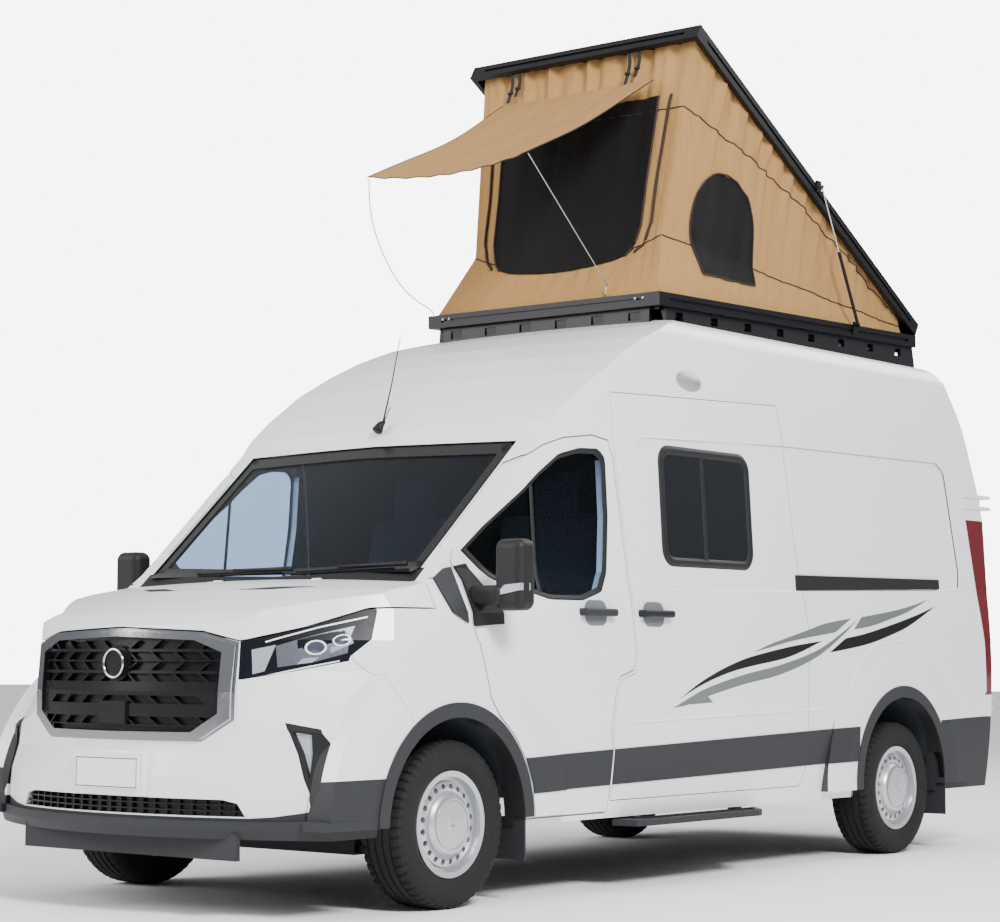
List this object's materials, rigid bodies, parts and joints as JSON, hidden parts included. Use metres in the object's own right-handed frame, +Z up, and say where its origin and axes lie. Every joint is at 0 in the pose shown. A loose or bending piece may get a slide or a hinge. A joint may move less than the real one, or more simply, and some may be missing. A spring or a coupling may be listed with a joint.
{
  "type": "camper van",
  "caption": "White high-roof panel van with dark trims, sliding side door with a window, and a hard-shell wedge tent raised on a black roof rack.",
  "frame": {"origin": "on the ground, half way along and half way across the van", "axes": "front faces -Y, the left side is +X, +Z is up"},
  "size_m": [2.48, 5.959, 4.2459],
  "materials": {
    "alu": "satin",
    "black": "satin",
    "chrome": "polished",
    "cord": "matte",
    "dark": "satin",
    "fabric": "matte",
    "glass": "gloss",
    "lampglass": "gloss",
    "plate": "satin",
    "redlamp": "gloss",
    "rubber": "matte",
    "seat": "matte",
    "silver": "satin",
    "steel": "matte",
    "white": "gloss"
  },
  "bodies": {
    "van": {"arch_trims": "dark", "body_shell": "white", "bumper_valance": "dark", "chassis": "steel", "cowl": "black", "dashboard": "black", "engine_block": "steel", "floor_pan": "steel", "fog_bezels": "black", "fog_lamps": "lampglass", "front_bumper": "white", "front_wings": "white", "grille": "black", "grille_surround": "chrome", "guy_cord": "cord", "headlamps": "lampglass", "licence_plate": "plate", "rear_axle": "steel", "rear_bumper": "dark", "rear_hinges": "white", "roof_rack": "alu", "seats": "seat", "side_step": "black", "side_trims": "dark", "side_window": "glass", "slide_gear": "black", "sliding_door": "white", "suspension": "steel", "tail_lamps": "redlamp", "tent_awning": "fabric", "tent_canvas": "fabric", "tent_tray": "alu", "windscreen": "glass"},
    "knuckle_front_left": {"knuckle_front_left": "steel"},
    "knuckle_front_right": {"knuckle_front_right": "steel"},
    "wheel_front_left": {"tyre_front_left": "rubber", "rim_front_left": "silver"},
    "wheel_front_right": {"tyre_front_right": "rubber", "rim_front_right": "silver"},
    "wheel_rear_left": {"tyre_rear_left": "rubber", "rim_rear_left": "silver"},
    "wheel_rear_right": {"tyre_rear_right": "rubber", "rim_rear_right": "silver"},
    "front_door_left": {"front_door_left": "white", "front_door_glass_left": "glass", "mirror_left": "black", "door_trim_left": "dark"},
    "front_door_right": {"front_door_right": "white", "front_door_glass_right": "glass", "mirror_right": "black", "door_trim_right": "dark"},
    "rear_door_left": {"rear_door_left": "white"},
    "rear_door_right": {"rear_door_right": "white"},
    "bonnet": {"bonnet": "white"},
    "tent_lid": {"tent_lid": "alu"},
    "strut_barrel_left": {"strut_barrel_left": "alu"},
    "strut_barrel_right": {"strut_barrel_right": "alu"},
    "strut_rod_left": {"strut_rod_left": "chrome"},
    "strut_rod_right": {"strut_rod_right": "chrome"},
    "steering_wheel": {"steering_wheel": "black"}
  },
  "joints": [
    {"name": "steer_left", "type": "hinge", "parent": "van", "child": "knuckle_front_left", "pos_m": [0.8, -1.95, 0.35], "axis": [0, 0, 1], "range_deg": [-36, 36]},
    {"name": "steer_right", "type": "hinge", "parent": "van", "child": "knuckle_front_right", "pos_m": [-0.8, -1.95, 0.35], "axis": [0, 0, 1], "range_deg": [-36, 36]},
    {"name": "wheel_front_left_spin", "type": "hinge", "parent": "knuckle_front_left", "child": "wheel_front_left", "pos_m": [0.872, -1.95, 0.35], "axis": [1, 0, 0], "continuous": true},
    {"name": "wheel_front_right_spin", "type": "hinge", "parent": "knuckle_front_right", "child": "wheel_front_right", "pos_m": [-0.872, -1.95, 0.35], "axis": [1, 0, 0], "continuous": true},
    {"name": "wheel_rear_left_spin", "type": "hinge", "parent": "van", "child": "wheel_rear_left", "pos_m": [0.872, 1.81, 0.35], "axis": [1, 0, 0], "continuous": true},
    {"name": "wheel_rear_right_spin", "type": "hinge", "parent": "van", "child": "wheel_rear_right", "pos_m": [-0.872, 1.81, 0.35], "axis": [1, 0, 0], "continuous": true},
    {"name": "front_door_left_hinge", "type": "hinge", "parent": "van", "child": "front_door_left", "pos_m": [1.05, -1.91, 1.1], "axis": [0, 0, -1], "range_deg": [0, 70]},
    {"name": "front_door_right_hinge", "type": "hinge", "parent": "van", "child": "front_door_right", "pos_m": [-1.05, -1.91, 1.1], "axis": [0, 0, 1], "range_deg": [0, 70]},
    {"name": "rear_door_left_hinge", "type": "hinge", "parent": "van", "child": "rear_door_left", "pos_m": [0.905, 2.915, 1.5], "axis": [0, 0, -1], "range_deg": [0, 180]},
    {"name": "rear_door_right_hinge", "type": "hinge", "parent": "van", "child": "rear_door_right", "pos_m": [-0.905, 2.915, 1.5], "axis": [0, 0, 1], "range_deg": [0, 180]},
    {"name": "bonnet_hinge", "type": "hinge", "parent": "van", "child": "bonnet", "pos_m": [0, -2.055, 1.374], "axis": [-1, 0, 0], "range_deg": [0, 50]},
    {"name": "tent_lid_hinge", "type": "hinge", "parent": "van", "child": "tent_lid", "pos_m": [0, 2.49788, 2.89602], "axis": [1, 0, 0], "range_deg": [0, 31], "deforming": ["tent_canvas", "tent_awning", "guy_cord"]},
    {"name": "strut_left_swing", "type": "hinge", "parent": "van", "child": "strut_barrel_left", "pos_m": [0.762, 1.814, 2.873], "axis": [1, 0, 0], "range_deg": [0, 55.41]},
    {"name": "strut_left_slide", "type": "slide", "parent": "strut_barrel_left", "child": "strut_rod_left", "axis": [0, -0.466, 0.8848], "range_m": [-0.22232, 0]},
    {"name": "strut_right_swing", "type": "hinge", "parent": "van", "child": "strut_barrel_right", "pos_m": [-0.762, 1.814, 2.873], "axis": [1, 0, 0], "range_deg": [0, 55.41]},
    {"name": "strut_right_slide", "type": "slide", "parent": "strut_barrel_right", "child": "strut_rod_right", "axis": [0, -0.466, 0.8848], "range_m": [-0.22232, 0]},
    {"name": "steering_wheel_turn", "type": "hinge", "parent": "van", "child": "steering_wheel", "pos_m": [-0.42, -1.39, 1.24], "axis": [0, 0.4695, 0.8829], "range_deg": [-600, 600]}
  ],
  "couplings": [
    {"joint": "steer_right", "follows": "steer_left", "ratio": 1},
    {"joint": "strut_left_swing", "follows": "tent_lid_hinge", "ratio": 1.7874},
    {"joint": "strut_left_slide", "follows": "tent_lid_hinge", "m_per_rad": -0.4109},
    {"joint": "strut_right_swing", "follows": "tent_lid_hinge", "ratio": 1.7874},
    {"joint": "strut_right_slide", "follows": "tent_lid_hinge", "m_per_rad": -0.4109}
  ]
}
